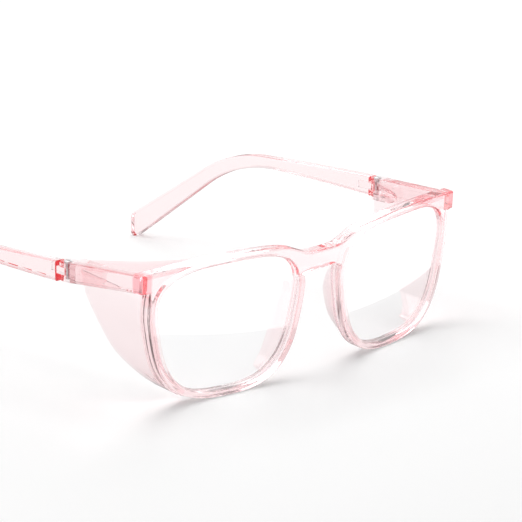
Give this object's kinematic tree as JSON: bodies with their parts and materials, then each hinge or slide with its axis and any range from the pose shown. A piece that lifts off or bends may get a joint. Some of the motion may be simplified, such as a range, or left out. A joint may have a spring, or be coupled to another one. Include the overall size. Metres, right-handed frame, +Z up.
{
  "type": "protective glasses",
  "caption": "Clear pink wraparound glasses with clear lenses, moulded side and top shields, nose pads and folding temples on screw hinges.",
  "frame": {"origin": "on the surface the open glasses rest on, under the middle of their overall box", "axes": "+X to the wearer's left, +Y to the back of the wearer's head, +Z up; the face of the front looks along -Y"},
  "size_m": [0.1416, 0.1537, 0.0452],
  "materials": {
    "clear_pink": "gloss",
    "lens_clear": "gloss",
    "screw_steel": "satin"
  },
  "bodies": {
    "front": {"front_frame": "clear_pink", "lens_left": "lens_clear", "lens_right": "lens_clear", "side_shield_left": "clear_pink", "side_shield_right": "clear_pink", "top_shield_left": "clear_pink", "top_shield_right": "clear_pink", "nose_pad_left": "clear_pink", "nose_pad_right": "clear_pink", "hinge_block_left": "clear_pink", "hinge_block_right": "clear_pink", "hinge_screw_left": "screw_steel", "hinge_screw_right": "screw_steel"},
    "temple_left_body": {"temple_left": "clear_pink"},
    "temple_right_body": {"temple_right": "clear_pink"}
  },
  "joints": [
    {"name": "fold_left", "type": "hinge", "parent": "front", "child": "temple_left_body", "pos_m": [0.0676, -0.03435, 0.0382], "axis": [0, 0, 1], "range_deg": [0, 86]},
    {"name": "fold_right", "type": "hinge", "parent": "front", "child": "temple_right_body", "pos_m": [-0.0676, -0.03435, 0.0382], "axis": [0, 0, -1], "range_deg": [0, 92]}
  ]
}
